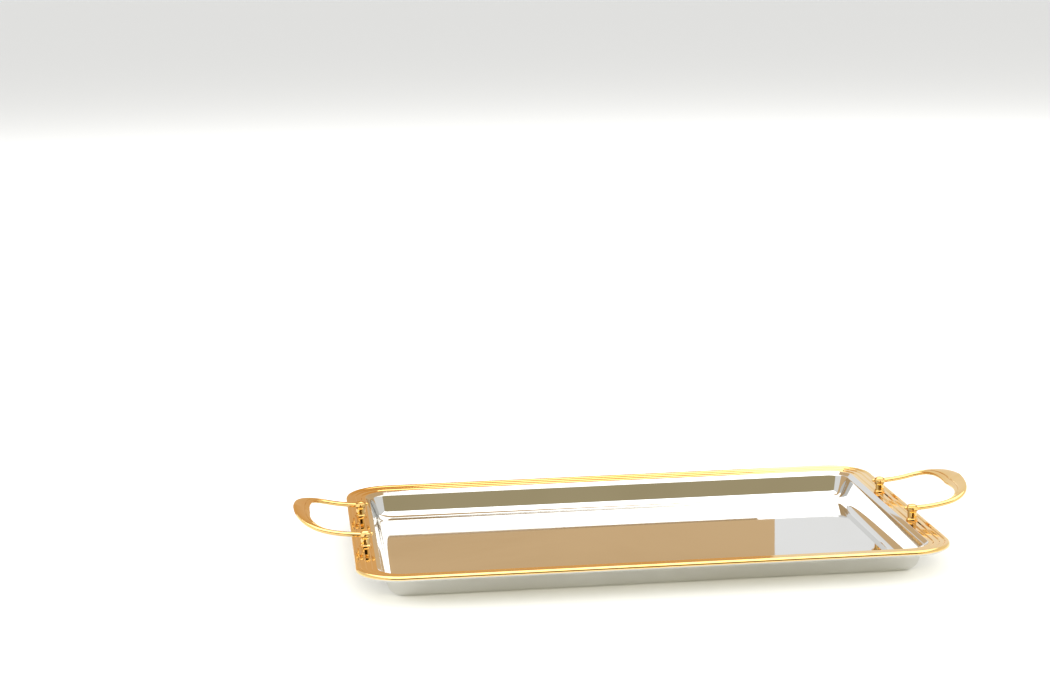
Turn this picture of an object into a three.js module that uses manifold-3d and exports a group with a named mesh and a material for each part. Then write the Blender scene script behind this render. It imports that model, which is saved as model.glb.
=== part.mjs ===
// A two-handled serving tray, in millimetres, +Z up, standing on its own flat floor.
// The origin is on the standing plane, in the middle of the tray; +X runs along its length.
// One pressed sheet makes the pan: floor, sloping wall, ridged rim and rolled edge.
// Each end carries a strap handle on two short pillars, screwed through the rim.

import * as THREE from "three";
import { mergeVertices } from "three/addons/utils/BufferGeometryUtils.js";
import Module from "manifold-3d";

// Pan
const trayLength = 480;
const trayWidth = 312;
const outlineRadius = 38; // corner of the outer edge, seen from above
const wellRadius = 10; // smallest corner radius, at the foot of the wall
const cornerSteps = 8;
const sheetThickness = 1;
const beadRadius = 2.4; // rolled outer edge
const beadHeight = 22.2; // centre of the roll above the standing plane
const ridgeStart = 4.5; // inset of the first groove, just inside the roll
const ridgePitch = 5;
const ridgeCount = 3;
const ridgeHeight = 0.4; // above and below the rim's mean line
const rimHeight = 24.1; // mean line of the rim at the first groove
const rimFall = 0.14; // drop per millimetre towards the well
const wallTop = { inset: 21, height: 19.4 };
const wallFoot = { inset: 28.4, height: sheetThickness };
const footRadius = 9.5; // inside bend between wall and floor

// Handles
const postX = 229.5;
const postY = 51;
const barHeight = 32.2; // centre of the bar over the pillars
const armEnd = 256; // where the straight arms turn into the bow
const bowReach = 24; // from there to the middle of the strap
const bowHalfSpan = 51.8;
const bowPower = 2.5; // 2 is an ellipse, more is squarer
const bowRise = 10.8; // of the strap's middle over the bar's height
const bowRisePower = 2; // the arms leave the posts level and climb towards the strap
const barWidth = 5.8;
const barThickness = 4.4;
const strapWidth = 15.5;
const strapTilt = THREE.MathUtils.degToRad(30); // outer edge of the strap stands higher
const eyeRadius = 5;
const eyeThickness = 4.6;
const finialRadius = 1.8;
const finialReach = 5; // from the eye's middle towards the well

// Pillars and fasteners
const gap = 0.3; // between pieces that touch
const boreRadius = 2.3;
const shankRadius = 2;
const collarRadius = 5.8;
const collarTop = 25.2;
const pillarRadius = 4.1;
const pillarFlare = 4.9;
const headRadius = 4;
const headHeight = 1.9;
const washerRadius = 4.5;
const washerThickness = 1;
const washerTop = 20.6; // just under the lowest groove of the rim
const nutAcrossFlats = 7;
const nutHeight = 3.2;
const turnSteps = 16;

const silverPlate = () =>
  new THREE.MeshStandardMaterial({ color: 0xdcdad2, metalness: 1, roughness: 0.14 });
const goldPlate = () =>
  new THREE.MeshStandardMaterial({ color: 0xd9a441, metalness: 1, roughness: 0.16 });
const plainSteel = () =>
  new THREE.MeshStandardMaterial({ color: 0x9fa0a0, metalness: 1, roughness: 0.35 });

const wasm = await Module();
wasm.setup();

function toSolid(geometry) {
  const bare = geometry.clone();
  bare.deleteAttribute("normal");
  bare.deleteAttribute("uv");
  const merged = mergeVertices(bare, 1e-4);
  const mesh = new wasm.Mesh({
    numProp: 3,
    vertProperties: merged.attributes.position.array,
    triVerts: Uint32Array.from(merged.index.array),
  });
  return new wasm.Manifold(mesh);
}

function fromSolid(solid) {
  const mesh = solid.getMesh();
  const geometry = new THREE.BufferGeometry();
  geometry.setAttribute("position", new THREE.BufferAttribute(mesh.vertProperties, 3));
  geometry.setIndex(new THREE.BufferAttribute(mesh.triVerts, 1));
  geometry.computeVertexNormals();
  return geometry;
}

// A closed body through rings of equal length, each counter-clockwise about the way
// from the first ring to the last; both ends are closed flat.
function loft(rings) {
  const count = rings[0].length;
  const last = (rings.length - 1) * count;
  const index = [];
  for (let start = 0; start < last; start += count) {
    for (let i = 0; i < count; i++) {
      const a = start + i;
      const b = start + ((i + 1) % count);
      index.push(a, b, b + count, a, b + count, a + count);
    }
  }
  for (let i = 1; i < count - 1; i++) {
    index.push(0, i + 1, i, last, last + i, last + i + 1);
  }
  const geometry = new THREE.BufferGeometry().setFromPoints(rings.flat());
  geometry.setIndex(index);
  geometry.computeVertexNormals();
  return geometry;
}

// A turned piece: pairs of radius and height, standing on +Z.
function turn(pairs) {
  const points = pairs.map(([radius, height]) => new THREE.Vector2(radius, height));
  return new THREE.LatheGeometry(points, turnSteps).rotateX(Math.PI / 2);
}

function borePin(radius, bottom, top) {
  return turn([[0, bottom], [radius, bottom], [radius, top], [0, top]]);
}

// ---- Pan ----

// The rim's upper surface: grooves and ridges on a line that falls towards the well.
function rimSurface(inset) {
  const phase = ((inset - ridgeStart) / ridgePitch) * 2 * Math.PI;
  return rimHeight - rimFall * (inset - ridgeStart) - ridgeHeight * Math.cos(phase);
}

function arcPoints(center, radius, from, to, steps) {
  const points = [];
  for (let i = 0; i <= steps; i++) {
    const angle = from + ((to - from) * i) / steps;
    const x = center.x + radius * Math.cos(angle);
    points.push(new THREE.Vector2(x, center.y + radius * Math.sin(angle)));
  }
  return points;
}

// Upper line of the sheet in (inset, height), from the inside of the roll to the floor.
function sheetLine() {
  const line = [];
  const stepsPerRidge = 5;
  for (let i = 0; i < ridgeCount * stepsPerRidge; i++) {
    const inset = ridgeStart + (i * ridgePitch) / stepsPerRidge;
    line.push(new THREE.Vector2(inset, rimSurface(inset)));
  }
  const shoulder = new THREE.Vector2(wallTop.inset - 0.7, wallTop.height + 1.3);
  line.push(shoulder, new THREE.Vector2(wallTop.inset, wallTop.height));

  const run = wallFoot.inset - wallTop.inset;
  const lean = Math.atan2(run, wallTop.height - wallFoot.height);
  const bend = Math.PI / 2 - lean; // angle the sheet turns through at the foot
  const center = new THREE.Vector2(
    wallFoot.inset + footRadius * Math.tan(bend / 2),
    wallFoot.height + footRadius,
  );
  return line.concat(arcPoints(center, footRadius, Math.PI + lean, 1.5 * Math.PI, 6));
}

// The same line moved down and outwards by the sheet's thickness.
function undersideLine(line) {
  return line.map((point, i) => {
    const before = line[Math.max(i - 1, 0)];
    const after = i < line.length - 1 ? line[i + 1] : new THREE.Vector2(point.x + 1, point.y);
    const along = after.clone().sub(before).normalize();
    return new THREE.Vector2(point.x + along.y * sheetThickness, point.y - along.x * sheetThickness);
  });
}

// One closed line round the tray: a rectangle with round corners, set in from the edge.
function outlineRing(inset, height) {
  const radius = Math.max(outlineRadius - inset, wellRadius);
  const coreX = trayLength / 2 - inset - radius;
  const coreY = trayWidth / 2 - inset - radius;
  const ring = [];
  for (let corner = 0; corner < 4; corner++) {
    const signX = corner === 0 || corner === 3 ? 1 : -1;
    const signY = corner < 2 ? 1 : -1;
    for (let i = 0; i <= cornerSteps; i++) {
      const angle = ((corner + i / cornerSteps) * Math.PI) / 2;
      const x = signX * coreX + radius * Math.cos(angle);
      ring.push(new THREE.Vector3(x, signY * coreY + radius * Math.sin(angle), height));
    }
  }
  return ring;
}

function panGeometry() {
  const upper = sheetLine();
  const under = undersideLine(upper).filter((point) => point.x > 2 * beadRadius);
  const beadCenter = new THREE.Vector2(beadRadius, beadHeight);
  const roll = arcPoints(beadCenter, beadRadius, 0.1, -1.75 * Math.PI, 10);
  const profile = [...under.reverse(), ...roll, ...upper];
  let solid = toSolid(loft(profile.map((point) => outlineRing(point.x, point.y))));
  for (const [x, y] of postPlaces()) {
    const hole = borePin(boreRadius, 15, 30).translate(x, y, 0);
    solid = solid.subtract(toSolid(hole));
  }
  return fromSolid(solid);
}

function postPlaces() {
  return [[-postX, -postY], [-postX, postY], [postX, -postY], [postX, postY]];
}

// ---- Handle ----

// Centre line of the right handle, from its far eye round the bow to its near eye.
function bowLine() {
  const half = [];
  const armSteps = 4;
  const bowSteps = 14;
  for (let i = 0; i < armSteps; i++) {
    const t = i / armSteps;
    half.push([postX + (armEnd - postX) * t, postY + (bowHalfSpan - postY) * t]);
  }
  for (let i = 0; i <= bowSteps; i++) {
    const angle = ((i / bowSteps) * Math.PI) / 2;
    const x = armEnd + bowReach * Math.sin(angle) ** (2 / bowPower);
    const y = bowHalfSpan * Math.max(Math.cos(angle), 0) ** (2 / bowPower);
    half.push([x, i === bowSteps ? 0 : y]);
  }
  const back = half.slice(0, -1).reverse().map(([x, y]) => [x, -y]);
  return [...half, ...back].map(([x, y]) => {
    const reach = (x - postX) / (armEnd + bowReach - postX);
    return new THREE.Vector3(x, y, barHeight + bowRise * reach ** bowRisePower);
  });
}

// Rod at the arms, growing into a wide dished strap at the middle of the bow.
function handleSection(points, i) {
  const before = points[Math.max(i - 1, 0)];
  const after = points[Math.min(i + 1, points.length - 1)];
  const along = after.clone().sub(before).normalize();
  const spread = Math.max(0, 1 - Math.abs(points[i].y) / bowHalfSpan) ** 0.6;
  const tilt = strapTilt * spread;
  const outward = new THREE.Vector3(-along.y, along.x, 0).normalize();
  const side = outward.multiplyScalar(Math.cos(tilt)).setZ(Math.sin(tilt));
  side.addScaledVector(along, -side.dot(along)).normalize();
  const up = along.clone().cross(side);
  const halfWidth = (barWidth + (strapWidth - barWidth) * spread) / 2;
  const ring = [];
  const sectionSteps = 12;
  for (let k = 0; k < sectionSteps; k++) {
    const angle = (k / sectionSteps) * 2 * Math.PI;
    const point = points[i].clone().addScaledVector(side, halfWidth * Math.cos(angle));
    ring.push(point.addScaledVector(up, (barThickness / 2) * Math.sin(angle)));
  }
  return ring;
}

function handleGeometry() {
  const points = bowLine();
  let solid = toSolid(loft(points.map((point, i) => handleSection(points, i))));
  const half = eyeThickness / 2;
  const edge = 0.6;
  const eye = [
    [0, -half], [eyeRadius - edge, -half], [eyeRadius, edge - half],
    [eyeRadius, half - edge], [eyeRadius - edge, half], [0, half],
  ];
  for (const y of [-postY, postY]) {
    const finial = new THREE.SphereGeometry(finialRadius, 12, 8);
    finial.translate(postX - finialReach, y, barHeight);
    solid = solid.add(toSolid(turn(eye).translate(postX, y, barHeight)));
    solid = solid.add(toSolid(finial));
  }
  for (const y of [-postY, postY]) {
    const bore = borePin(boreRadius, barHeight - eyeThickness, barHeight + eyeThickness);
    solid = solid.subtract(toSolid(bore.translate(postX, y, 0)));
  }
  return fromSolid(solid);
}

// ---- Pillars and fasteners, each on the axis of a post ----

const eyeBottom = barHeight - eyeThickness / 2;
const eyeTop = barHeight + eyeThickness / 2;

function pillarGeometry() {
  const bottom = collarTop + gap;
  const top = eyeBottom - gap;
  return turn([
    [boreRadius, bottom], [pillarRadius, bottom], [pillarRadius, top - 1.3],
    [pillarFlare, top - 0.4], [pillarFlare, top], [boreRadius, top], [boreRadius, bottom],
  ]);
}

// The collar's underside follows the rim's ridges, a gap above them.
function collarGeometry() {
  const floor = rimSurface(trayLength / 2 - postX) - 3;
  const collar = turn([
    [boreRadius, floor], [collarRadius, floor], [collarRadius, collarTop - 0.9],
    [collarRadius - 0.7, collarTop - 0.2], [collarRadius - 1.4, collarTop],
    [boreRadius, collarTop], [boreRadius, floor],
  ]);
  const reach = collarRadius + 1;
  const below = new THREE.Shape();
  below.moveTo(-reach, floor - 1);
  below.lineTo(reach, floor - 1);
  const steps = 14;
  for (let i = 0; i <= steps; i++) {
    const x = reach - (i * 2 * reach) / steps;
    below.lineTo(x, rimSurface(trayLength / 2 - postX - x) + gap);
  }
  const cutter = new THREE.ExtrudeGeometry(below, { depth: 2 * reach, bevelEnabled: false });
  cutter.rotateX(Math.PI / 2).translate(0, reach, 0);
  return fromSolid(toSolid(collar).subtract(toSolid(cutter)));
}

function screwGeometry() {
  const bottom = washerTop - washerThickness - gap - nutHeight - 0.8;
  const seat = eyeTop + gap;
  const dome = [];
  const domeSteps = 4;
  for (let i = 0; i < domeSteps; i++) {
    const angle = ((i / domeSteps) * Math.PI) / 2;
    const height = seat + 0.3 + (headHeight - 0.3) * Math.sin(angle);
    dome.push([headRadius * Math.cos(angle), height]);
  }
  return turn([
    [0, bottom], [shankRadius - 0.4, bottom], [shankRadius, bottom + 0.4],
    [shankRadius, seat], [headRadius, seat], ...dome, [0, seat + headHeight],
  ]);
}

function washerGeometry() {
  const bottom = washerTop - washerThickness;
  return turn([
    [boreRadius, bottom], [washerRadius, bottom], [washerRadius, washerTop],
    [boreRadius, washerTop], [boreRadius, bottom],
  ]);
}

function nutGeometry() {
  const outline = new THREE.Shape();
  const corner = nutAcrossFlats / Math.sqrt(3);
  for (let i = 0; i < 6; i++) {
    const angle = (i * Math.PI) / 3;
    const place = [corner * Math.cos(angle), corner * Math.sin(angle)];
    if (i === 0) outline.moveTo(...place);
    else outline.lineTo(...place);
  }
  outline.holes.push(new THREE.Path().absarc(0, 0, boreRadius, 0, 2 * Math.PI));
  const settings = { depth: nutHeight, bevelEnabled: false, curveSegments: 8 };
  const bottom = washerTop - washerThickness - gap - nutHeight;
  return new THREE.ExtrudeGeometry(outline, settings).translate(0, 0, bottom);
}

// ---- Assembly ----

const tray = new THREE.Group();

function addPiece(parent, name, geometry, material) {
  const piece = new THREE.Mesh(geometry, material);
  piece.name = name;
  parent.add(piece);
}

addPiece(tray, "tray_pan", panGeometry(), silverPlate());

const handle = handleGeometry();
const stack = {
  post_collar: [collarGeometry(), goldPlate],
  post_pillar: [pillarGeometry(), goldPlate],
  dome_screw: [screwGeometry(), goldPlate],
  flat_washer: [washerGeometry(), plainSteel],
  hex_nut: [nutGeometry(), plainSteel],
};

// The left end is the right end turned half a turn about the tray's middle.
for (const [side, angle] of [["right", 0], ["left", Math.PI]]) {
  const end = new THREE.Group();
  end.rotation.z = angle;
  addPiece(end, `handle_loop_${side}`, handle, goldPlate());
  for (const y of [-postY, postY]) {
    const place = y * Math.cos(angle) < 0 ? "front" : "back";
    const post = new THREE.Group();
    post.position.set(postX, y, 0);
    for (const [piece, [geometry, material]] of Object.entries(stack)) {
      addPiece(post, `${piece}_${side}_${place}`, geometry, material());
    }
    end.add(post);
  }
  tray.add(end);
}

export default tray;
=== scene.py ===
import math

import bpy
from mathutils import Matrix, Vector


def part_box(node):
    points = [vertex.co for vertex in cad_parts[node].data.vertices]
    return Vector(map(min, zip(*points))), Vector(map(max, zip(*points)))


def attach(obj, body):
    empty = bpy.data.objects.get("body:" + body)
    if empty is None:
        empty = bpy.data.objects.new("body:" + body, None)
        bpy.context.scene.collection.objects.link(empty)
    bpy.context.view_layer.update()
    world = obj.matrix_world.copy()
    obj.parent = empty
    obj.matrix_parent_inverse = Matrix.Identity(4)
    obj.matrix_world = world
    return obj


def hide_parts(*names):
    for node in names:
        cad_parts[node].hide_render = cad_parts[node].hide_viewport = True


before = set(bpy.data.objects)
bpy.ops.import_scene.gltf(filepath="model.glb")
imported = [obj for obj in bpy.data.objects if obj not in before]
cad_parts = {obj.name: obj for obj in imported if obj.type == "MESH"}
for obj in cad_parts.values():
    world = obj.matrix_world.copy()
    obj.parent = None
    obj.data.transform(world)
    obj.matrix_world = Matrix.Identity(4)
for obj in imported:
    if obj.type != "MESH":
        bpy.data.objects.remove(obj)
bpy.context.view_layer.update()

mm = 0.001
weld = 0.001 * mm  # points closer than this become one
scene = bpy.context.scene


def linear(code, alpha=1.0):
    # sRGB hex to the linear colour that sockets take
    parts = [int(code[i:i + 2], 16) / 255 for i in (1, 3, 5)]
    return tuple(p / 12.92 if p <= 0.04045 else ((p + 0.055) / 1.055) ** 2.4 for p in parts) + (alpha,)


def addNode(tree, kind, inputs=None, **settings):
    node = tree.nodes.new(kind)
    for name, value in settings.items():
        setattr(node, name, value)
    for socket, value in (inputs or {}).items():
        if isinstance(value, bpy.types.NodeSocket):
            tree.links.new(value, node.inputs[socket])
        else:
            node.inputs[socket].default_value = value
    return node


def newObject(name, points, edges=(), faces=()):
    mesh = bpy.data.meshes.new(name)
    mesh.from_pydata([tuple(p) for p in points], list(edges), list(faces))
    piece = bpy.data.objects.new(name, mesh)
    scene.collection.objects.link(piece)
    return piece


# Camera and studio

cameraSettings = {
    "place": (-0.282, -1.793, 0.486),
    "yaw": -6.136,
    "tilt": 80.11,
    "roll": -1.206,
    "lens": 75.0,  # in millimetres, as is the sensor's width
    "sensor": 36.0,
    "clipEnd": 300.0,
}


def makeCamera(s):
    data = bpy.data.cameras.new("studioCamera")
    data.lens, data.sensor_width = s["lens"], s["sensor"]
    data.clip_end = s["clipEnd"]
    camera = bpy.data.objects.new("studioCamera", data)
    scene.collection.objects.link(camera)
    turn = Matrix.Rotation(math.radians(s["yaw"]), 4, "Z")
    turn = turn @ Matrix.Rotation(math.radians(s["tilt"]), 4, "X")
    turn = turn @ Matrix.Rotation(math.radians(s["roll"]), 4, "Z")
    camera.matrix_world = Matrix.Translation(s["place"]) @ turn
    scene.camera = camera


studio = {
    "floorSide": 120.0,
    "floorColour": "#DEDEDC",
    "floorRoughness": 0.9,
    "floorSpecular": 0.2,
    "worldColour": "#FFFFFF",
    "worldStrength": 1.0,
    # upright card behind the tray: the warm tan that the well and the rim pick up
    "backCard": {"colour": "#D9B78A", "strength": 1.1, "left": (-0.386, 0.127), "turn": 12,
                 "size": (0.578, 0.315)},
    # dim warm wall in front, which darkens the sides that face the viewer
    "frontCard": {"colour": "#BFB08A", "strength": 0.95, "y": -3.0, "x": (-3.4, 2.6), "z": (0.35, 2.9)},
    # the dark of the room round the viewer, which draws the dark lines along the near arms and the lip
    "darkCard": {"colour": "#3E3214", "strength": 0.6, "y": -2.3, "x": (-1.6, 1.1), "z": (0.15, 0.86)},
    "softbox": {"colour": "#FFFFFF", "strength": 3.0, "height": 1.9, "half": 1.75},
    # low panels all round, seen by the table and not by the metal: they keep the shadow light and close
    "fill": {"colour": "#FFFFFF", "strength": 5.2, "away": 2.6, "half": 2.6, "height": 1.7},
    "frontFillColour": "#FFF8DA",  # a warmer panel in front, which the outer wall picks up from the table
}


def makeCard(name, corners, s):
    # a glowing card that only reflections see, unless its caller opens it to more
    card = newObject(name, corners, faces=[(0, 1, 2, 3)])
    paint = bpy.data.materials.new(name + "Glow")
    paint.use_nodes = True
    tree = paint.node_tree
    tree.nodes.clear()
    glow = addNode(tree, "ShaderNodeEmission", {"Color": linear(s["colour"]), "Strength": s["strength"]})
    addNode(tree, "ShaderNodeOutputMaterial", {"Surface": glow.outputs[0]})
    card.data.materials.append(paint)
    card.visible_camera = card.visible_shadow = card.visible_diffuse = False
    return card


def makeStage(s):
    half = s["floorSide"] / 2
    corners = [(-half, -half, 0), (half, -half, 0), (half, half, 0), (-half, half, 0)]
    floor = newObject("studioFloor", corners, faces=[(0, 1, 2, 3)])
    paint = bpy.data.materials.new("mattWhiteTable")
    paint.use_nodes = True
    shader = paint.node_tree.nodes["Principled BSDF"]
    shader.inputs["Base Color"].default_value = linear(s["floorColour"])
    shader.inputs["Roughness"].default_value = s["floorRoughness"]
    shader.inputs["Specular IOR Level"].default_value = s["floorSpecular"]
    floor.data.materials.append(paint)

    back = s["backCard"]
    corner = Vector((*back["left"], 0))
    along = Matrix.Rotation(math.radians(back["turn"]), 3, "Z") @ Vector((back["size"][0], 0, 0))
    up = Vector((0, 0, back["size"][1]))
    makeCard("tanCard", [corner, corner + along, corner + along + up, corner + up], back)
    for name in ("frontCard", "darkCard"):
        (x0, x1), (z0, z1), y = s[name]["x"], s[name]["z"], s[name]["y"]
        makeCard(name, [(x0, y, z0), (x1, y, z0), (x1, y, z1), (x0, y, z1)], s[name])
    box = s["softbox"]
    half, z = box["half"], box["height"]
    makeCard("softbox", [(-half, -half, z), (half, -half, z), (half, half, z), (-half, half, z)], box)
    fill = s["fill"]
    away, half, top = fill["away"], fill["half"], fill["height"]
    for side in range(4):
        colour = s["frontFillColour"] if side == 3 else fill["colour"]  # the last one stands in front
        turn = Matrix.Rotation(side * math.pi / 2, 3, "Z")
        outline = [(away, -half, 0), (away, half, 0), (away, half, top), (away, -half, top)]
        glow = {"colour": colour, "strength": fill["strength"]}
        panel = makeCard("fillPanel_%d" % side, [turn @ Vector(p) for p in outline], glow)
        panel.visible_glossy, panel.visible_diffuse = False, True

    world = bpy.data.worlds.new("softStudio")
    world.use_nodes = True
    sky = world.node_tree.nodes["Background"]
    sky.inputs["Color"].default_value = linear(s["worldColour"])
    sky.inputs["Strength"].default_value = s["worldStrength"]
    scene.world = world
    scene.view_settings.view_transform = "Standard"


makeCamera(cameraSettings)
makeStage(studio)
print("stage: camera, floor and reflector cards")


# Finishes: sizes are those of the real surface, scaled to noise inside makeMetal

# the mirror of the pan: crisp reflections that bend a little where the sheet isn't dead flat
sheetFinish = {
    "name": "mirrorPolishedStainlessSheet",
    "colour": "#D6D6D4",
    "smear": "#CECDC8",
    "roughness": (0.035, 0.10),
    "swell": 75 * mm,
    "swellHeight": 0.05 * mm,
    "lines": 1.1 * mm,
    "lineHeight": 0.0006 * mm,
}
# warm plate on rim, handles and posts: a shade softer than the sheet, deeper in its smears
goldFinish = {
    "name": "polishedGoldPlate",
    "colour": "#EAC683",
    "smear": "#E3BA70",
    "roughness": (0.045, 0.11),
    "swell": 40 * mm,
    "swellHeight": 0.02 * mm,
    "lines": 0.9 * mm,
    "lineHeight": 0.0005 * mm,
}
# cool, satin fasteners under the rim
steelFinish = {
    "name": "brightZincPlatedSteel",
    "colour": "#B4B6B8",
    "smear": "#8F9194",
    "roughness": (0.22, 0.42),
    "swell": 3 * mm,
    "swellHeight": 0.01 * mm,
    "lines": 0.25 * mm,
    "lineHeight": 0.002 * mm,
}


def makeMetal(s):
    # Buffed metal: a near mirror that swims a little where the sheet or casting isn't dead flat,
    # with faint polishing lines and smears that dull it in patches.
    material = bpy.data.materials.new(s["name"])
    material.use_nodes = True
    tree = material.node_tree
    shader = tree.nodes["Principled BSDF"]
    shader.inputs["Metallic"].default_value = 1.0
    place = addNode(tree, "ShaderNodeTexCoord").outputs["Object"]

    smear = addNode(tree, "ShaderNodeTexNoise", {"Vector": place, "Scale": 0.3 / s["swell"], "Detail": 4.0,
                                                 "Roughness": 0.62, "Distortion": 0.6})
    patch = addNode(tree, "ShaderNodeMapRange", {"Value": smear.outputs["Fac"], "From Min": 0.38,
                                                 "From Max": 0.72}, interpolation_type="SMOOTHSTEP")
    tint = addNode(tree, "ShaderNodeMix", {0: patch.outputs[0], 6: linear(s["colour"]),
                                           7: linear(s["smear"])}, data_type="RGBA")
    fine = addNode(tree, "ShaderNodeTexNoise", {"Vector": place, "Scale": 1 / s["lines"], "Detail": 3.0})
    dull = addNode(tree, "ShaderNodeMath", {0: patch.outputs[0], 1: fine.outputs["Fac"]},
                   operation="MULTIPLY")
    low, high = s["roughness"]
    rough = addNode(tree, "ShaderNodeMapRange", {"Value": dull.outputs[0], "To Min": low, "To Max": high})
    tree.links.new(tint.outputs[2], shader.inputs["Base Color"])
    tree.links.new(rough.outputs[0], shader.inputs["Roughness"])

    swell = addNode(tree, "ShaderNodeTexNoise", {"Vector": place, "Scale": 1 / s["swell"], "Detail": 1.0})
    soft = addNode(tree, "ShaderNodeBump", {"Height": swell.outputs["Fac"], "Distance": s["swellHeight"]})
    stretch = addNode(tree, "ShaderNodeMapping", {"Vector": place, "Scale": (0.04, 1.0, 1.0)})
    grain = addNode(tree, "ShaderNodeTexNoise", {"Vector": stretch.outputs[0], "Scale": 1 / s["lines"],
                                                 "Detail": 2.0})
    lines = addNode(tree, "ShaderNodeBump", {"Height": grain.outputs["Fac"], "Distance": s["lineHeight"],
                                             "Normal": soft.outputs[0]})
    tree.links.new(lines.outputs[0], shader.inputs["Normal"])
    return material


stainlessSheet = makeMetal(sheetFinish)
goldPlate = makeMetal(goldFinish)
zincSteel = makeMetal(steelFinish)
print("finishes: stainless sheet, gold plate, zinc plated steel")


# Geometry Nodes, shared parts

def newTree(name, sizes):
    # sizes: name -> socket type; the first socket is always the incoming geometry
    tree = bpy.data.node_groups.new(name, "GeometryNodeTree")
    tree.interface.new_socket("Geometry", in_out="INPUT", socket_type="NodeSocketGeometry")
    tree.interface.new_socket("Geometry", in_out="OUTPUT", socket_type="NodeSocketGeometry")
    for label, kind in sizes.items():
        tree.interface.new_socket(label, in_out="INPUT", socket_type=kind)
    return tree, addNode(tree, "NodeGroupInput")


def rowAndStep(tree, perRow):
    # for every point of a grid: the number of its row and its place in that row
    index = addNode(tree, "GeometryNodeInputIndex").outputs[0]
    share = addNode(tree, "ShaderNodeMath", {0: index, 1: perRow}, operation="DIVIDE")
    row = addNode(tree, "ShaderNodeMath", {0: share.outputs[0]}, operation="FLOOR")
    step = addNode(tree, "ShaderNodeMath", {0: index, 1: perRow}, operation="FLOORED_MODULO")
    return row.outputs[0], step.outputs[0]


def fourPosts(tree, asked):
    # a point on the axis of each screw
    reach = addNode(tree, "ShaderNodeMath", {0: asked["Post Reach"], 1: 2.0}, operation="MULTIPLY")
    gauge = addNode(tree, "ShaderNodeMath", {0: asked["Post Spread"], 1: 2.0}, operation="MULTIPLY")
    grid = addNode(tree, "GeometryNodeMeshGrid", {"Vertices X": 2, "Vertices Y": 2,
                                                  "Size X": reach.outputs[0], "Size Y": gauge.outputs[0]})
    return grid.outputs["Mesh"]


def signedPower(tree, value, exponent):
    # a value's size raised to the exponent, with the value's own sign
    size = addNode(tree, "ShaderNodeMath", {0: value}, operation="ABSOLUTE")
    full = addNode(tree, "ShaderNodeMath", {0: size.outputs[0], 1: exponent}, operation="POWER")
    sign = addNode(tree, "ShaderNodeMath", {0: value}, operation="SIGN")
    return addNode(tree, "ShaderNodeMath", {0: full.outputs[0], 1: sign.outputs[0]},
                   operation="MULTIPLY").outputs[0]


def endTree(tree, geometry, sharpAngle):
    # smooth faces, crisp edges where the surface turns sharply
    turn = addNode(tree, "GeometryNodeInputMeshEdgeAngle")
    crisp = addNode(tree, "FunctionNodeCompare", {0: turn.outputs["Unsigned Angle"], 1: sharpAngle},
                    operation="GREATER_THAN")
    smooth = addNode(tree, "GeometryNodeSetShadeSmooth", {"Geometry": geometry, "Shade Smooth": True})
    marked = addNode(tree, "GeometryNodeStoreNamedAttribute",
                     {"Geometry": smooth.outputs[0], "Name": "sharp_edge", "Value": crisp.outputs[0]},
                     data_type="BOOLEAN", domain="EDGE")
    addNode(tree, "NodeGroupOutput", {"Geometry": marked.outputs[0]})


def grow(base, tree, sizes):
    # runs the tree on the base object and leaves a plain mesh
    modifier = base.modifiers.new("build", "NODES")
    modifier.node_group = tree
    for item in tree.interface.items_tree:
        if item.in_out == "INPUT" and item.name in sizes:
            modifier[item.identifier] = sizes[item.name]
    evaluated = base.evaluated_get(bpy.context.evaluated_depsgraph_get())
    mesh = bpy.data.meshes.new_from_object(evaluated)
    base.modifiers.remove(modifier)
    if mesh.materials and not mesh.materials[0]:
        mesh.materials.pop(index=0)
    old, base.data = base.data, mesh
    mesh.name = base.name
    bpy.data.meshes.remove(old)
    return base


def finishPiece(piece, slot, *nodes):
    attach(piece, "root")
    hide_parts(*nodes)


def arc(centre, radius, start, stop, steps):
    # points round a circle in the section plane, angles in degrees
    angles = [math.radians(start + (stop - start) * i / steps) for i in range(steps + 1)]
    return [(centre[0] + radius * math.cos(a), centre[1] + radius * math.sin(a)) for a in angles]


def roundedPath(corners, stepDegrees=7):
    # a line through the corners (x, y, radius), each corner turned on its radius
    points = [corners[0][:2]]
    for before, (x, y, radius), after in zip(corners, corners[1:], corners[2:]):
        if not radius:
            points.append((x, y))
            continue
        here = Vector((x, y))
        back = (Vector(before[:2]) - here).normalized()
        ahead = (Vector(after[:2]) - here).normalized()
        bend = math.pi - back.angle(ahead)
        reach = radius * math.tan(bend / 2)
        centre = here + (back + ahead).normalized() * math.hypot(radius, reach)
        start, stop = here + back * reach - centre, here + ahead * reach - centre
        steps = max(2, math.ceil(math.degrees(bend) / stepDegrees))
        sweep = start.angle_signed(stop)
        for i in range(steps + 1):
            spoke = start.copy()
            spoke.rotate(Matrix.Rotation(-sweep * i / steps, 2))
            points.append(tuple(centre + spoke))
    points.append(corners[-1][:2])
    return points


def shifted(corners, distance):
    # the same corners moved to the right of the way they run; radii follow
    moved = []
    for i, (x, y, radius) in enumerate(corners):
        here = Vector((x, y))
        ways = []
        if i > 0:
            ways.append((here - Vector(corners[i - 1][:2])).normalized())
        if i < len(corners) - 1:
            ways.append((Vector(corners[i + 1][:2]) - here).normalized())
        sides = [Vector((w.y, -w.x)) for w in ways]
        normal = sum(sides, Vector((0, 0))).normalized()
        place = here + normal * distance / normal.dot(sides[0])
        turn = ways[0].x * ways[-1].y - ways[0].y * ways[-1].x
        moved.append((place.x, place.y, max(radius + (distance if turn > 0 else -distance), 0.25)))
    return moved


# Pan: one pressed sheet, swept round a rectangle with round corners

panLow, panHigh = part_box("tray_pan")
postLow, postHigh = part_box("post_pillar_right_front")
postX, postY = (postLow.x + postHigh.x) / 2, abs(postLow.y + postHigh.y) / 2

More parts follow.
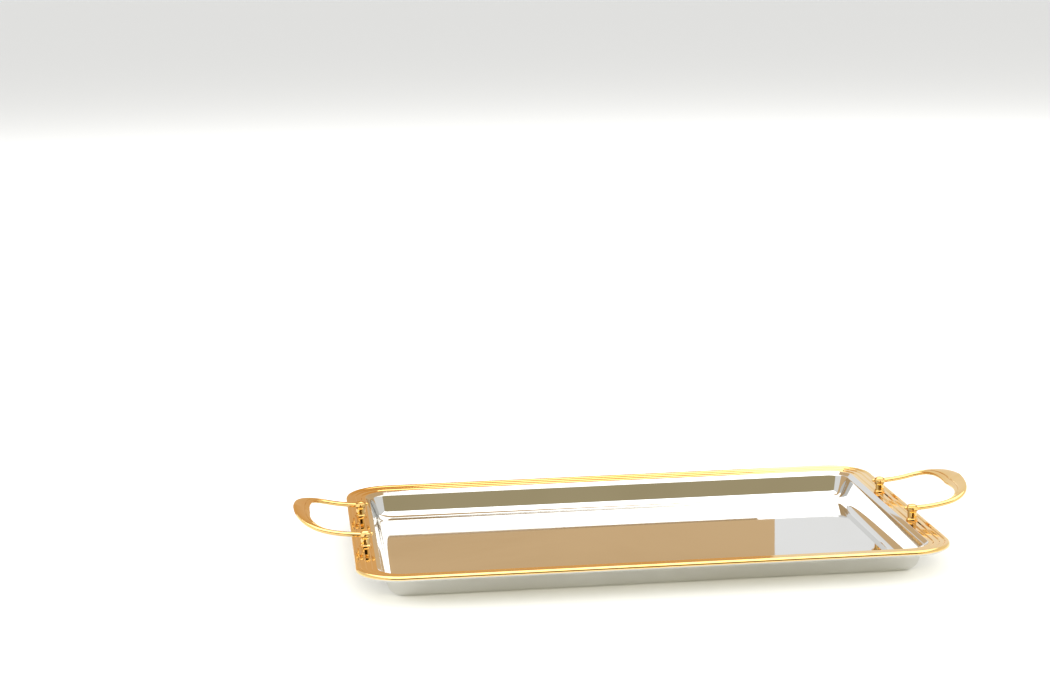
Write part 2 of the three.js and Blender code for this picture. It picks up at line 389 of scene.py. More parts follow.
pan = {
    "length": panHigh.x - panLow.x,
    "width": panHigh.y - panLow.y,
    "outlineRadius": 38 * mm,
    "wellRadius": 10 * mm,
    "cornerSteps": 20,
    "sideSteps": 40,
    "sheet": 1.0,  # from here to platedInset in millimetres: inset from the edge, height above the table
    "beadRadius": 2.4,
    "beadArc": (-6, -322),  # degrees round the roll, from its tucked-in end to the first land
    "beadSteps": 44,
    "slitInset": 4.3,  # where the roll's tucked-in end meets the underside
    "underInset": 5.3,
    "top": panHigh.z / mm,
    "lands": [(4.9, 23.35), (8.0, 23.62), (8.95, 22.9), (12.9, 23.12), (13.85, 22.35), (17.0, 22.6)],
    "landRadii": [0.6, 0.55, 0.5, 0.55, 0.5, 0.9],
    "stepDown": [(20.3, 20.15, 1.2), (21.05, 19.85, 1.2)],
    "foot": (28.4, 1.0, 9.5),
    "floorInset": 36.0,
    "platedInset": 17.0,
    "platedBelow": 15,  # degrees round the roll below its outermost line
    "holeRadius": 2.3 * mm,
}


def panSection(s):
    # (inset, spread, height) in metres, from the middle of the underside to the middle of the well;
    # spread 0 gathers a point to the middle of the tray
    centre = (s["beadRadius"], s["top"] - s["beadRadius"])
    (start, stop), steps = s["beadArc"], s["beadSteps"]
    bead = arc(centre, s["beadRadius"], start, stop, steps)
    lands = [(*place, radius) for place, radius in zip(s["lands"], s["landRadii"])]
    corners = [(*bead[-1], 0)] + lands + s["stepDown"] + [s["foot"], (s["floorInset"], s["foot"][1], 0)]
    upper = roundedPath(corners)
    under = roundedPath(shifted(corners[1:], s["sheet"])[:-1] + [(s["floorInset"], 0, 0)])
    under = [p for p in under if p[0] > s["underInset"]]
    slit = [(s["slitInset"], under[0][1]), (s["slitInset"], bead[0][1])]
    line = under[::-1] + slit + bead + upper[1:]
    plated = [False] * (len(under) + len(slit))
    plated += [start + (stop - start) * i / steps <= s["platedBelow"] - 180 for i in range(steps + 1)]
    plated += [x <= s["platedInset"] + 0.01 for x, z in upper[1:]]
    section = [(x * mm, 1, z * mm) for x, z in line]
    section = [(section[0][0], 0, section[0][2])] + section + [(section[-1][0], 0, section[-1][2])]
    return section, [False] + plated + [False]


def panTree():
    tree, sizes = newTree("pressedTray", {
        "Length": "NodeSocketFloat", "Width": "NodeSocketFloat",
        "Outline Radius": "NodeSocketFloat", "Well Radius": "NodeSocketFloat",
        "Corner Steps": "NodeSocketInt", "Side Steps": "NodeSocketInt",
        "Post Reach": "NodeSocketFloat", "Post Spread": "NodeSocketFloat",
        "Hole Radius": "NodeSocketFloat",
        "Sheet Finish": "NodeSocketMaterial", "Plate Finish": "NodeSocketMaterial"})
    asked = sizes.outputs
    section = addNode(tree, "GeometryNodeAttributeDomainSize", {"Geometry": asked["Geometry"]})
    across = section.outputs["Point Count"]
    steps = addNode(tree, "ShaderNodeMath", {0: asked["Corner Steps"], 1: 1.0}, operation="ADD")
    quarter = addNode(tree, "ShaderNodeMath", {0: steps.outputs[0], 1: asked["Side Steps"]},
                      operation="ADD")
    around = addNode(tree, "ShaderNodeMath", {0: quarter.outputs[0], 1: 4.0, 2: 1.0},
                     operation="MULTIPLY_ADD")
    skin = addNode(tree, "GeometryNodeMeshGrid", {"Vertices X": around.outputs[0], "Vertices Y": across})

    # which section of the ring, and which point of the section, a vertex is
    ring, rest = rowAndStep(tree, across)
    place = addNode(tree, "GeometryNodeSampleIndex", {
        "Geometry": asked["Geometry"], "Index": rest,
        "Value": addNode(tree, "GeometryNodeInputPosition").outputs[0]}, data_type="FLOAT_VECTOR")
    point = addNode(tree, "ShaderNodeSeparateXYZ", {0: place.outputs[0]})
    inset, spread, height = point.outputs

    # corner number, how far round its arc, and how far along the straight after it
    cornerShare = addNode(tree, "ShaderNodeMath", {0: ring, 1: quarter.outputs[0]}, operation="DIVIDE")
    corner = addNode(tree, "ShaderNodeMath", {0: cornerShare.outputs[0]}, operation="FLOOR")
    step = addNode(tree, "ShaderNodeMath", {0: ring, 1: quarter.outputs[0]},
                   operation="FLOORED_MODULO")
    onArc = addNode(tree, "ShaderNodeMath", {0: step.outputs[0], 1: asked["Corner Steps"]},
                    operation="DIVIDE")
    arcShare = addNode(tree, "ShaderNodeMath", {0: onArc.outputs[0], 1: 1.0}, operation="MINIMUM")
    past = addNode(tree, "ShaderNodeMath", {0: step.outputs[0], 1: asked["Corner Steps"]},
                   operation="SUBTRACT")
    sideCount = addNode(tree, "ShaderNodeMath", {0: asked["Side Steps"], 1: 1.0}, operation="ADD")
    onSide = addNode(tree, "ShaderNodeMath", {0: past.outputs[0], 1: sideCount.outputs[0]},
                     operation="DIVIDE")
    sideShare = addNode(tree, "ShaderNodeMath", {0: onSide.outputs[0], 1: 0.0}, operation="MAXIMUM")

    # the corner's centre, in halves of the core rectangle, sliding to the next corner's
    bearing = addNode(tree, "ShaderNodeMath", {0: corner.outputs[0], 1: math.pi / 2, 2: math.pi / 4},
                      operation="MULTIPLY_ADD")
    nextBearing = addNode(tree, "ShaderNodeMath", {0: bearing.outputs[0], 1: math.pi / 2}, operation="ADD")
    halves = []
    for trig in ("COSINE", "SINE"):
        here = addNode(tree, "ShaderNodeMath", {0: bearing.outputs[0]}, operation=trig)
        there = addNode(tree, "ShaderNodeMath", {0: nextBearing.outputs[0]}, operation=trig)
        slide = addNode(tree, "ShaderNodeMix", {0: sideShare.outputs[0], 2: here.outputs[0],
                                                3: there.outputs[0]}, clamp_factor=False)
        halves.append(addNode(tree, "ShaderNodeMath", {0: slide.outputs[0], 1: math.sqrt(2)},
                              operation="MULTIPLY"))
    inner = addNode(tree, "ShaderNodeMath", {0: asked["Outline Radius"], 1: inset}, operation="SUBTRACT")
    radius = addNode(tree, "ShaderNodeMath", {0: inner.outputs[0], 1: asked["Well Radius"]},
                     operation="MAXIMUM")
    taken = addNode(tree, "ShaderNodeMath", {0: inset, 1: radius.outputs[0]}, operation="ADD")
    total = addNode(tree, "ShaderNodeMath", {0: corner.outputs[0], 1: arcShare.outputs[0]},
                    operation="ADD")
    angle = addNode(tree, "ShaderNodeMath", {0: total.outputs[0], 1: math.pi / 2}, operation="MULTIPLY")
    ways = []
    for trig, size, half in zip(("COSINE", "SINE"), ("Length", "Width"), halves):
        core = addNode(tree, "ShaderNodeMath", {0: asked[size], 1: 0.5}, operation="MULTIPLY")
        core = addNode(tree, "ShaderNodeMath", {0: core.outputs[0], 1: taken.outputs[0]},
                       operation="SUBTRACT")
        middle = addNode(tree, "ShaderNodeMath", {0: core.outputs[0], 1: half.outputs[0]},
                         operation="MULTIPLY")
        turned = addNode(tree, "ShaderNodeMath", {0: angle.outputs[0]}, operation=trig)
        way = addNode(tree, "ShaderNodeMath", {0: turned.outputs[0], 1: radius.outputs[0],
                                               2: middle.outputs[0]}, operation="MULTIPLY_ADD")
        ways.append(addNode(tree, "ShaderNodeMath", {0: way.outputs[0], 1: spread}, operation="MULTIPLY"))
    spot = addNode(tree, "ShaderNodeCombineXYZ", {"X": ways[0].outputs[0], "Y": ways[1].outputs[0],
                                                  "Z": height})
    shaped = addNode(tree, "GeometryNodeSetPosition", {"Geometry": skin.outputs["Mesh"],
                                                       "Position": spot.outputs[0]})

    # plating: gold where the whole face lies in the plated part of the section
    flag = addNode(tree, "GeometryNodeInputNamedAttribute", {"Name": "plated"}, data_type="BOOLEAN")
    isPlated = addNode(tree, "GeometryNodeSampleIndex", {
        "Geometry": asked["Geometry"], "Index": rest, "Value": flag.outputs[0]}, data_type="BOOLEAN")
    kept = addNode(tree, "GeometryNodeStoreNamedAttribute", {
        "Geometry": shaped.outputs[0], "Name": "plated", "Value": isPlated.outputs[0]},
        data_type="BOOLEAN", domain="POINT")
    closed = addNode(tree, "GeometryNodeMergeByDistance", {"Geometry": kept.outputs[0], "Distance": weld})
    silver = addNode(tree, "GeometryNodeSetMaterial", {"Geometry": closed.outputs[0],
                                                       "Material": asked["Sheet Finish"]})
    gold = addNode(tree, "GeometryNodeSetMaterial", {"Geometry": silver.outputs[0],
                                                     "Selection": flag.outputs[0],
                                                     "Material": asked["Plate Finish"]})

    # four screw holes through the rim
    drill = addNode(tree, "GeometryNodeMeshCylinder", {"Vertices": 32, "Radius": asked["Hole Radius"],
                                                       "Depth": 80 * mm})
    drills = addNode(tree, "GeometryNodeInstanceOnPoints", {"Points": fourPosts(tree, asked),
                                                            "Instance": drill.outputs["Mesh"]})
    drills = addNode(tree, "GeometryNodeRealizeInstances", {"Geometry": drills.outputs[0]})
    drilled = addNode(tree, "GeometryNodeMeshBoolean", {"Mesh 1": gold.outputs[0],
                                                        "Mesh 2": drills.outputs[0]},
                      operation="DIFFERENCE", solver="MANIFOLD")
    endTree(tree, drilled.outputs[0], sharpAngle=math.radians(38))
    return tree


def makePan(s):
    section, plated = panSection(s)
    base = newObject("pressedPan", section, edges=[(i, i + 1) for i in range(len(section) - 1)])
    mark = base.data.attributes.new("plated", "BOOLEAN", "POINT")
    mark.data.foreach_set("value", plated)
    grow(base, panTree(), {
        "Length": s["length"], "Width": s["width"], "Outline Radius": s["outlineRadius"],
        "Well Radius": s["wellRadius"], "Corner Steps": s["cornerSteps"], "Side Steps": s["sideSteps"],
        "Post Reach": postX, "Post Spread": postY, "Hole Radius": s["holeRadius"],
        "Sheet Finish": stainlessSheet, "Plate Finish": goldPlate})
    finishPiece(base, "polished_pan", "tray_pan")
    return base


panPiece = makePan(pan)
print("pan:", len(panPiece.data.polygons), "faces")


# Handles: a bar that widens into a tilted strap round the bow

handle = {
    "armEnd": 256.3 * mm,
    "bowReach": 24.0 * mm,
    "bowHalfSpan": 51.8 * mm,
    "bowPower": 2.5,  # 2 is an ellipse, more is squarer
    "height": 33.0 * mm,
    "rise": 10.6 * mm,
    "barWidth": 5.8 * mm,
    "barThickness": 3.9 * mm,
    "strapWidth": 15.5 * mm,
    "strapThickness": 4.0 * mm,
    "strapTilt": 30,
    "barSquareness": 2.3,
    "strapSquareness": 3.6,
    "strapOnset": 0.6,  # under 1, the strap widens early in the bow
    "armSwell": 1.5 * mm,  # extra width where an arm runs into its eye
    "swellReach": 12.0 * mm,
    "armSteps": 60,
    "bowSteps": 400,
    "bowCrowding": 1.5,  # over 1, points crowd where the bow leaves the arm
    "pathSteps": 130,
    "sectionSteps": 240,
    "groovePlace": -0.32,  # across the strap, -1 is its inner edge
    "grooveWidth": 0.13,
    "grooveDepth": 0.4,  # share of half the strap's thickness
    "grooveOnset": 0.5,
    "eyeRadius": 5.0 * mm,
    "eyeHalfHeight": 1.9 * mm,
    "eyeSquareness": 5.0,
    "finialReach": 5.0 * mm,
    "finialLength": 2.0 * mm,
    "finialRadius": 1.5 * mm,
    "finialSquareness": 1.7,
    "boreRadius": 2.3 * mm,
}


def handlePath(s):
    # centre line of the right handle, far eye to near eye, its points evenly spaced
    arm, bow = s["armSteps"], s["bowSteps"]
    half = [Vector((postX + (s["armEnd"] - postX) * i / arm, postY + (s["bowHalfSpan"] - postY) * i / arm))
            for i in range(arm)]
    for i in range(bow + 1):
        angle = math.pi / 2 * (i / bow) ** s["bowCrowding"]
        half.append(Vector((s["armEnd"] + s["bowReach"] * math.sin(angle) ** (2 / s["bowPower"]),
                            s["bowHalfSpan"] * max(math.cos(angle), 0) ** (2 / s["bowPower"]))))
    half[-1].y = 0
    line = half + [Vector((p.x, -p.y)) for p in half[-2::-1]]
    lengths = [0.0]
    for a, b in zip(line, line[1:]):
        lengths.append(lengths[-1] + (b - a).length)
    points, k = [], 0
    for i in range(s["pathSteps"] + 1):
        wanted = lengths[-1] * i / s["pathSteps"]
        while k < len(line) - 2 and lengths[k + 1] < wanted:
            k += 1
        p = line[k].lerp(line[k + 1], (wanted - lengths[k]) / (lengths[k + 1] - lengths[k]))
        reach = (p.x - postX) / (s["armEnd"] + s["bowReach"] - postX)
        points.append(Vector((p.x, p.y, s["height"] + s["rise"] * reach ** 2)))
    return points


def handleStations(s):
    # per point: half-width and half-thickness vectors, squareness and groove of the section
    points = handlePath(s)
    stations = []
    for i, point in enumerate(points):
        along = (points[min(i + 1, len(points) - 1)] - points[max(i - 1, 0)]).normalized()
        share = 0.0
        if point.x > s["armEnd"]:
            share = max(0.0, 1 - abs(point.y) / s["bowHalfSpan"]) ** s["strapOnset"]
        tilt = math.radians(s["strapTilt"]) * share
        side = Vector((-along.y, along.x, 0)).normalized()
        side = side * math.cos(tilt) + Vector((0, 0, math.sin(tilt)))
        side = (side - along * side.dot(along)).normalized()
        up = along.cross(side)
        swell = s["armSwell"] * max(0.0, 1 - (point.x - postX) / s["swellReach"]) ** 2
        width = s["barWidth"] + (s["strapWidth"] - s["barWidth"]) * share + swell
        depth = s["barThickness"] + (s["strapThickness"] - s["barThickness"]) * share
        power = s["barSquareness"] + (s["strapSquareness"] - s["barSquareness"]) * share
        groove = s["grooveDepth"] * share ** s["grooveOnset"]
        stations.append((point, side * width / 2, up * depth / 2, power, groove))
    flat = Vector((0, 0, 0))
    first, last = stations[0], stations[-1]
    return [(first[0], flat, flat, *first[3:])] + stations + [(last[0], flat, flat, *last[3:])]


def squashTree():
    # a unit ball pressed towards a disc with rounded edges (squareness over 2) or a spindle (under 2)
    tree, sizes = newTree("squashedBall", {"Radius": "NodeSocketFloat", "Half Height": "NodeSocketFloat",
                                           "Squareness": "NodeSocketFloat"})
    asked = sizes.outputs
    place = addNode(tree, "GeometryNodeInputPosition").outputs[0]
    parts = addNode(tree, "ShaderNodeSeparateXYZ", {0: place}).outputs
    flat = addNode(tree, "ShaderNodeCombineXYZ", {"X": parts[0], "Y": parts[1]})
    ring = addNode(tree, "ShaderNodeVectorMath", {0: flat.outputs[0]}, operation="LENGTH").outputs["Value"]
    exponent = addNode(tree, "ShaderNodeMath", {0: 2.0, 1: asked["Squareness"]}, operation="DIVIDE")
    spread = addNode(tree, "ShaderNodeMath", {0: ring, 1: exponent.outputs[0]}, operation="POWER")
    safe = addNode(tree, "ShaderNodeMath", {0: ring, 1: 1e-5}, operation="MAXIMUM")
    ratio = addNode(tree, "ShaderNodeMath", {0: spread.outputs[0], 1: safe.outputs[0]}, operation="DIVIDE")
    wider = addNode(tree, "ShaderNodeMath", {0: ratio.outputs[0], 1: asked["Radius"]},
                    operation="MULTIPLY")
    tall = signedPower(tree, parts[2], exponent.outputs[0])
    height = addNode(tree, "ShaderNodeMath", {0: tall, 1: asked["Half Height"]}, operation="MULTIPLY")
    across = addNode(tree, "ShaderNodeVectorMath", {0: flat.outputs[0], "Scale": wider.outputs[0]},
                     operation="SCALE")
    lift = addNode(tree, "ShaderNodeCombineXYZ", {"Z": height.outputs[0]})
    spot = addNode(tree, "ShaderNodeVectorMath", {0: across.outputs[0], 1: lift.outputs[0]},
                   operation="ADD")
    moved = addNode(tree, "GeometryNodeSetPosition", {"Geometry": asked["Geometry"],
                                                      "Position": spot.outputs[0]})
    addNode(tree, "NodeGroupOutput", {"Geometry": moved.outputs[0]})
    return tree


def handleTree():
    tree, sizes = newTree("strapHandle", {
        "Section Steps": "NodeSocketInt",
        "Groove Place": "NodeSocketFloat", "Groove Width": "NodeSocketFloat",
        "Eye Place": "NodeSocketVector", "Eye Spacing": "NodeSocketVector",
        "Eye Radius": "NodeSocketFloat", "Eye Half Height": "NodeSocketFloat",
        "Eye Squareness": "NodeSocketFloat", "Bore Radius": "NodeSocketFloat",
        "Finial Reach": "NodeSocketFloat", "Finial Length": "NodeSocketFloat",
        "Finial Radius": "NodeSocketFloat", "Finial Squareness": "NodeSocketFloat",
        "Finish": "NodeSocketMaterial"})
    asked = sizes.outputs
    path = addNode(tree, "GeometryNodeAttributeDomainSize", {"Geometry": asked["Geometry"]})
    around = addNode(tree, "ShaderNodeMath", {0: asked["Section Steps"], 1: 1.0}, operation="ADD")
    skin = addNode(tree, "GeometryNodeMeshGrid", {"Vertices X": path.outputs["Point Count"],
                                                  "Vertices Y": around.outputs[0]})
    station, step = rowAndStep(tree, around.outputs[0])
    centre = addNode(tree, "GeometryNodeSampleIndex", {
        "Geometry": asked["Geometry"], "Index": station,
        "Value": addNode(tree, "GeometryNodeInputPosition").outputs[0]}, data_type="FLOAT_VECTOR")
    here = {}
    for name, kind in (("across", "FLOAT_VECTOR"), ("through", "FLOAT_VECTOR"), ("power", "FLOAT"),
                       ("groove", "FLOAT")):
        stored = addNode(tree, "GeometryNodeInputNamedAttribute", {"Name": name}, data_type=kind)
        here[name] = addNode(tree, "GeometryNodeSampleIndex", {
            "Geometry": asked["Geometry"], "Index": station, "Value": stored.outputs[0]},
            data_type=kind).outputs[0]

    # rounded-square section, from 1 at its outer edge to -1 at its inner one
    turn = addNode(tree, "ShaderNodeMath", {0: step, 1: asked["Section Steps"]}, operation="DIVIDE")
    angle = addNode(tree, "ShaderNodeMath", {0: turn.outputs[0], 1: -2 * math.pi}, operation="MULTIPLY")
    exponent = addNode(tree, "ShaderNodeMath", {0: 2.0, 1: here["power"]}, operation="DIVIDE")
    ways = []
    for trig in ("COSINE", "SINE"):
        way = addNode(tree, "ShaderNodeMath", {0: angle.outputs[0]}, operation=trig)
        ways.append(signedPower(tree, way.outputs[0], exponent.outputs[0]))

    # a fine groove along the strap's inner margin, on top only
    off = addNode(tree, "ShaderNodeMath", {0: ways[0], 1: asked["Groove Place"]}, operation="SUBTRACT")
    off = addNode(tree, "ShaderNodeMath", {0: off.outputs[0]}, operation="ABSOLUTE")
    dip = addNode(tree, "ShaderNodeMapRange", {"Value": off.outputs[0], "From Max": asked["Groove Width"],
                                               "To Min": 1.0, "To Max": 0.0},
                  interpolation_type="SMOOTHSTEP")
    onTop = addNode(tree, "ShaderNodeMath", {0: ways[1], 1: 0.5}, operation="GREATER_THAN")
    dip = addNode(tree, "ShaderNodeMath", {0: dip.outputs[0], 1: onTop.outputs[0]}, operation="MULTIPLY")
    dip = addNode(tree, "ShaderNodeMath", {0: dip.outputs[0], 1: here["groove"]}, operation="MULTIPLY")
    rise = addNode(tree, "ShaderNodeMath", {0: ways[1], 1: dip.outputs[0]}, operation="SUBTRACT")
    wide = addNode(tree, "ShaderNodeVectorMath", {0: here["across"], "Scale": ways[0]}, operation="SCALE")
    deep = addNode(tree, "ShaderNodeVectorMath", {0: here["through"], "Scale": rise.outputs[0]},
                   operation="SCALE")
    offset = addNode(tree, "ShaderNodeVectorMath", {0: wide.outputs[0], 1: deep.outputs[0]},
                     operation="ADD")
    spot = addNode(tree, "ShaderNodeVectorMath", {0: offset.outputs[0], 1: centre.outputs[0]},
                   operation="ADD")
    bar = addNode(tree, "GeometryNodeSetPosition", {"Geometry": skin.outputs["Mesh"],
                                                    "Position": spot.outputs[0]})
    bar = addNode(tree, "GeometryNodeMergeByDistance", {"Geometry": bar.outputs[0], "Distance": weld})

    # an eye with its finial at either end, bored for the screw
    ball = addNode(tree, "GeometryNodeMeshUVSphere", {"Segments": 64, "Rings": 40, "Radius": 1.0})
    squash = squashTree()
    eye = addNode(tree, "GeometryNodeGroup", {"Geometry": ball.outputs["Mesh"],
                                              "Radius": asked["Eye Radius"],
                                              "Half Height": asked["Eye Half Height"],
                                              "Squareness": asked["Eye Squareness"]}, node_tree=squash)
    tip = addNode(tree, "GeometryNodeGroup", {"Geometry": ball.outputs["Mesh"],
                                              "Radius": asked["Finial Radius"],
                                              "Half Height": asked["Finial Length"],
                                              "Squareness": asked["Finial Squareness"]},
                  node_tree=squash)
    away = addNode(tree, "ShaderNodeMath", {0: asked["Finial Reach"], 1: -1.0}, operation="MULTIPLY")
    shift = addNode(tree, "ShaderNodeCombineXYZ", {"X": away.outputs[0]})
    tip = addNode(tree, "GeometryNodeTransform", {"Geometry": tip.outputs[0],
                                                  "Translation": shift.outputs[0],
                                                  "Rotation": (0, math.pi / 2, 0)})
    ends = addNode(tree, "GeometryNodeMeshLine", {"Count": 2, "Start Location": asked["Eye Place"],
                                                  "Offset": asked["Eye Spacing"]})
    bore = addNode(tree, "GeometryNodeMeshCylinder", {"Vertices": 40, "Radius": asked["Bore Radius"],
                                                      "Depth": 20 * mm})
    placed = []
    for part in (eye, tip, bore):
        copies = addNode(tree, "GeometryNodeInstanceOnPoints", {"Points": ends.outputs["Mesh"],
                                                                "Instance": part.outputs[0]})
        placed.append(addNode(tree, "GeometryNodeRealizeInstances", {"Geometry": copies.outputs[0]}))
    whole = addNode(tree, "GeometryNodeMeshBoolean", {"Mesh 2": bar.outputs[0]}, operation="UNION",
                    solver="MANIFOLD")
    tree.links.new(placed[0].outputs[0], whole.inputs["Mesh 2"])
    tree.links.new(placed[1].outputs[0], whole.inputs["Mesh 2"])
    bored = addNode(tree, "GeometryNodeMeshBoolean", {"Mesh 1": whole.outputs[0],
                                                      "Mesh 2": placed[2].outputs[0]},
                    operation="DIFFERENCE", solver="MANIFOLD")
    gold = addNode(tree, "GeometryNodeSetMaterial", {"Geometry": bored.outputs[0],
                                                     "Material": asked["Finish"]})
    endTree(tree, gold.outputs[0], sharpAngle=math.radians(42))
    return tree


def makeHandles(s):
    stations = handleStations(s)
    right = newObject("strapHandle_right", [p[0] for p in stations],
                      edges=[(i, i + 1) for i in range(len(stations) - 1)])
    for name, kind, slot in (("across", "FLOAT_VECTOR", 1), ("through", "FLOAT_VECTOR", 2)):
        field = right.data.attributes.new(name, kind, "POINT")
        field.data.foreach_set("vector", [v for p in stations for v in p[slot]])
    for name, slot in (("power", 3), ("groove", 4)):
        field = right.data.attributes.new(name, "FLOAT", "POINT")
        field.data.foreach_set("value", [p[slot] for p in stations])
    grow(right, handleTree(), {
        "Section Steps": s["sectionSteps"],
        "Groove Place": s["groovePlace"], "Groove Width": s["grooveWidth"],
        "Eye Place": (postX, -postY, s["height"]), "Eye Spacing": (0, 2 * postY, 0),
        "Eye Radius": s["eyeRadius"], "Eye Half Height": s["eyeHalfHeight"],
        "Eye Squareness": s["eyeSquareness"], "Bore Radius": s["boreRadius"],
        "Finial Reach": s["finialReach"], "Finial Length": s["finialLength"],
        "Finial Radius": s["finialRadius"], "Finial Squareness": s["finialSquareness"],
        "Finish": goldPlate})
    left = bpy.data.objects.new("strapHandle_left", right.data.copy())
    left.data.transform(Matrix.Rotation(math.pi, 4, "Z"))
    scene.collection.objects.link(left)
    for piece, end in ((right, "right"), (left, "left")):
        finishPiece(piece, "gold_plate", "handle_loop_" + end)
        print("handle:", end, len(piece.data.polygons), "faces")


makeHandles(handle)


# Posts: turned pieces, the same four times, each on the axis of a screw

def threadRings(crest, root, start, step, turns):
    # plain rings that stand for the screw's thread
    return [(radius, start + step * i, 0) for i, radius in enumerate((crest, root) * turns)]


posts = {
    "turnSteps": 64,
    # profiles run (radius, height, edge radius) in millimetres, up the outside
    "collar": [(2.4, 22.0, 0), (4.9, 22.0, 0), (4.9, 23.8, 0.3), (4.05, 24.3, 0.9), (3.9, 25.25, 0.1),
               (2.4, 25.25, 0), (2.4, 22.0, 0)],
    "pillar": [(2.4, 25.3, 0), (3.85, 25.3, 0.15), (3.85, 29.6, 1.2), (4.6, 30.7, 0.25),
               (4.6, 31.05, 0.12), (2.4, 31.05, 0), (2.4, 25.3, 0)],
    "screw": [(0, 15.3, 0), (1.5, 15.3, 0), *threadRings(1.98, 1.6, start=15.7, step=0.35, turns=6),
              (2.0, 20.0, 0), (2.0, 34.95, 0), (4.2, 34.95, 0.1), (4.2, 35.25, 0.4), (2.6, 36.1, 2.2),
              (1.0, 36.4, 1.5), (0, 36.42, 0)],
    "washer": [(2.3, 19.6, 0), (4.5, 19.6, 0.15), (4.5, 20.6, 0.2), (2.3, 20.6, 0), (2.3, 19.6, 0)],
    "nut": [(2.06, 16.3, 0), (2.3, 16.1, 0), (3.45, 16.1, 0), (4.3, 16.6, 0), (4.3, 18.8, 0),
            (3.45, 19.3, 0), (2.3, 19.3, 0), (2.06, 19.1, 0), (2.06, 16.3, 0)],
    "nutAcrossFlats": 7.0 * mm,
    "footBelow": 22.1 * mm,  # points under this height settle on the rim
    "seatReach": 20.0 * mm,  # the ray that finds the rim starts this far above
    "seatGap": 0.03 * mm,
}


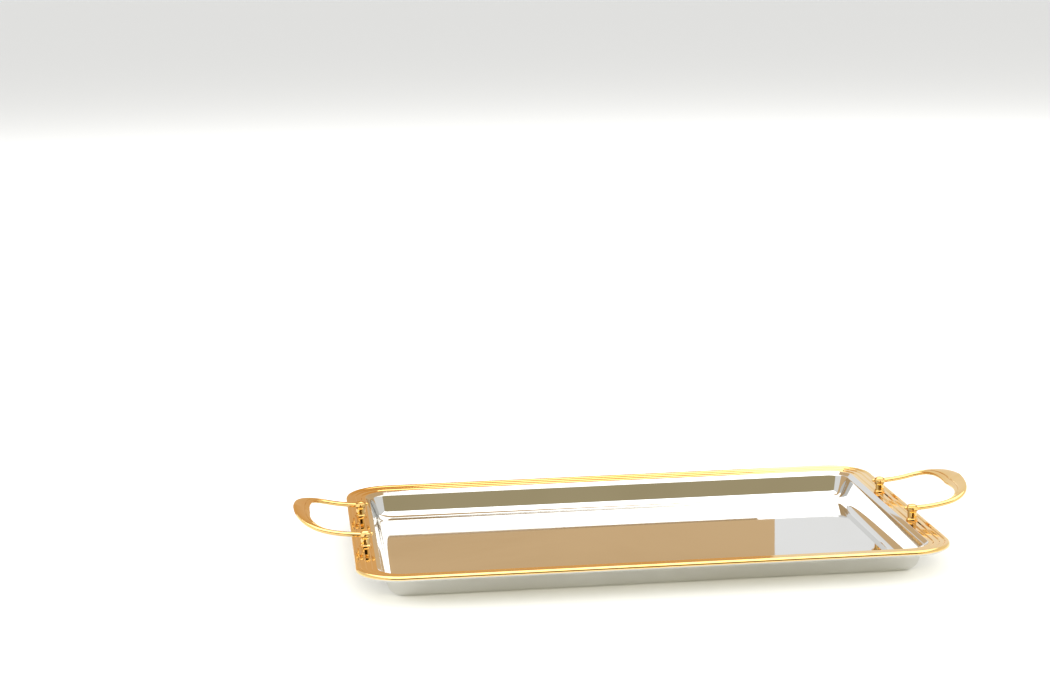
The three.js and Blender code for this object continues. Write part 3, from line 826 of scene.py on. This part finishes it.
def turnedTree(name, seat=None, acrossFlats=None):
    # Spins a profile round the screw's axis and stands it on the four posts. With a seat, its underside
    # settles on that object; with a size across flats, it is cut to a hexagon.
    tree, sizes = newTree(name, {"Turn Steps": "NodeSocketInt", "Post Reach": "NodeSocketFloat",
                                 "Post Spread": "NodeSocketFloat", "Across Flats": "NodeSocketFloat",
                                 "Foot Height": "NodeSocketFloat", "Finish": "NodeSocketMaterial"})
    asked = sizes.outputs
    profile = addNode(tree, "GeometryNodeAttributeDomainSize", {"Geometry": asked["Geometry"]})
    count = profile.outputs["Point Count"]
    around = addNode(tree, "ShaderNodeMath", {0: asked["Turn Steps"], 1: 1.0}, operation="ADD")
    skin = addNode(tree, "GeometryNodeMeshGrid", {"Vertices X": around.outputs[0], "Vertices Y": count})
    step, rest = rowAndStep(tree, count)
    place = addNode(tree, "GeometryNodeSampleIndex", {
        "Geometry": asked["Geometry"], "Index": rest,
        "Value": addNode(tree, "GeometryNodeInputPosition").outputs[0]}, data_type="FLOAT_VECTOR")
    radius, _, height = addNode(tree, "ShaderNodeSeparateXYZ", {0: place.outputs[0]}).outputs
    turn = addNode(tree, "ShaderNodeMath", {0: step, 1: asked["Turn Steps"]}, operation="DIVIDE")
    angle = addNode(tree, "ShaderNodeMath", {0: turn.outputs[0], 1: 2 * math.pi}, operation="MULTIPLY")
    ways = []
    for trig in ("COSINE", "SINE"):
        way = addNode(tree, "ShaderNodeMath", {0: angle.outputs[0]}, operation=trig)
        ways.append(addNode(tree, "ShaderNodeMath", {0: way.outputs[0], 1: radius}, operation="MULTIPLY"))
    spot = addNode(tree, "ShaderNodeCombineXYZ", {"X": ways[0].outputs[0], "Y": ways[1].outputs[0],
                                                  "Z": height})
    spun = addNode(tree, "GeometryNodeSetPosition", {"Geometry": skin.outputs["Mesh"],
                                                     "Position": spot.outputs[0]})
    body = addNode(tree, "GeometryNodeMergeByDistance", {"Geometry": spun.outputs[0], "Distance": weld})
    if acrossFlats:
        corner = addNode(tree, "ShaderNodeMath", {0: asked["Across Flats"], 1: math.sqrt(3)},
                         operation="DIVIDE")
        bar = addNode(tree, "GeometryNodeMeshCylinder", {"Vertices": 6, "Radius": corner.outputs[0],
                                                         "Depth": 100 * mm})
        body = addNode(tree, "GeometryNodeMeshBoolean", {"Mesh 2": body.outputs[0]}, operation="INTERSECT",
                       solver="MANIFOLD")
        tree.links.new(bar.outputs["Mesh"], body.inputs["Mesh 2"])
    copies = addNode(tree, "GeometryNodeInstanceOnPoints", {"Points": fourPosts(tree, asked),
                                                            "Instance": body.outputs[0]})
    solid = addNode(tree, "GeometryNodeRealizeInstances", {"Geometry": copies.outputs[0]})
    if seat:
        here = addNode(tree, "GeometryNodeInputPosition").outputs[0]
        level = addNode(tree, "ShaderNodeSeparateXYZ", {0: here}).outputs[2]
        above = addNode(tree, "ShaderNodeVectorMath", {0: here, 1: (0, 0, posts["seatReach"])},
                        operation="ADD")
        target = addNode(tree, "GeometryNodeObjectInfo", {"Object": seat})
        down = addNode(tree, "GeometryNodeRaycast", {
            "Target Geometry": target.outputs["Geometry"], "Source Position": above.outputs[0],
            "Ray Direction": (0, 0, -1), "Ray Length": 2 * posts["seatReach"]})
        isFoot = addNode(tree, "ShaderNodeMath", {0: level, 1: asked["Foot Height"]},
                         operation="LESS_THAN")
        moves = addNode(tree, "FunctionNodeBooleanMath", {0: isFoot.outputs[0], 1: down.outputs["Is Hit"]})
        seated = addNode(tree, "ShaderNodeVectorMath", {0: down.outputs["Hit Position"],
                                                        1: (0, 0, posts["seatGap"])}, operation="ADD")
        solid = addNode(tree, "GeometryNodeSetPosition", {"Geometry": solid.outputs[0],
                                                          "Selection": moves.outputs[0],
                                                          "Position": seated.outputs[0]})
    coated = addNode(tree, "GeometryNodeSetMaterial", {"Geometry": solid.outputs[0],
                                                       "Material": asked["Finish"]})
    endTree(tree, coated.outputs[0], sharpAngle=math.radians(35))
    return tree


def makePostPart(name, profile, slot, finish, node, seat=None, acrossFlats=None):
    line = [(x * mm, 0, z * mm) for x, z in roundedPath(profile, 12)]
    piece = newObject(name, line, edges=[(i, i + 1) for i in range(len(line) - 1)])
    grow(piece, turnedTree(name + "Turning", seat, acrossFlats), {
        "Turn Steps": posts["turnSteps"], "Post Reach": postX, "Post Spread": postY,
        "Across Flats": acrossFlats or 0.0, "Foot Height": posts["footBelow"], "Finish": finish})
    replaced = [f"{node}_{end}_{side}" for end in ("right", "left") for side in ("front", "back")]
    finishPiece(piece, slot, *replaced)
    print("posts:", name, len(piece.data.polygons), "faces")


makePostPart("rimCollars", posts["collar"], "gold_plate", goldPlate, "post_collar", seat=panPiece)
makePostPart("turnedPillars", posts["pillar"], "gold_plate", goldPlate, "post_pillar")
makePostPart("domedScrews", posts["screw"], "gold_plate", goldPlate, "dome_screw")
makePostPart("flatWashers", posts["washer"], "fastener_steel", zincSteel, "flat_washer")
makePostPart("hexNuts", posts["nut"], "fastener_steel", zincSteel, "hex_nut",
             acrossFlats=posts["nutAcrossFlats"])
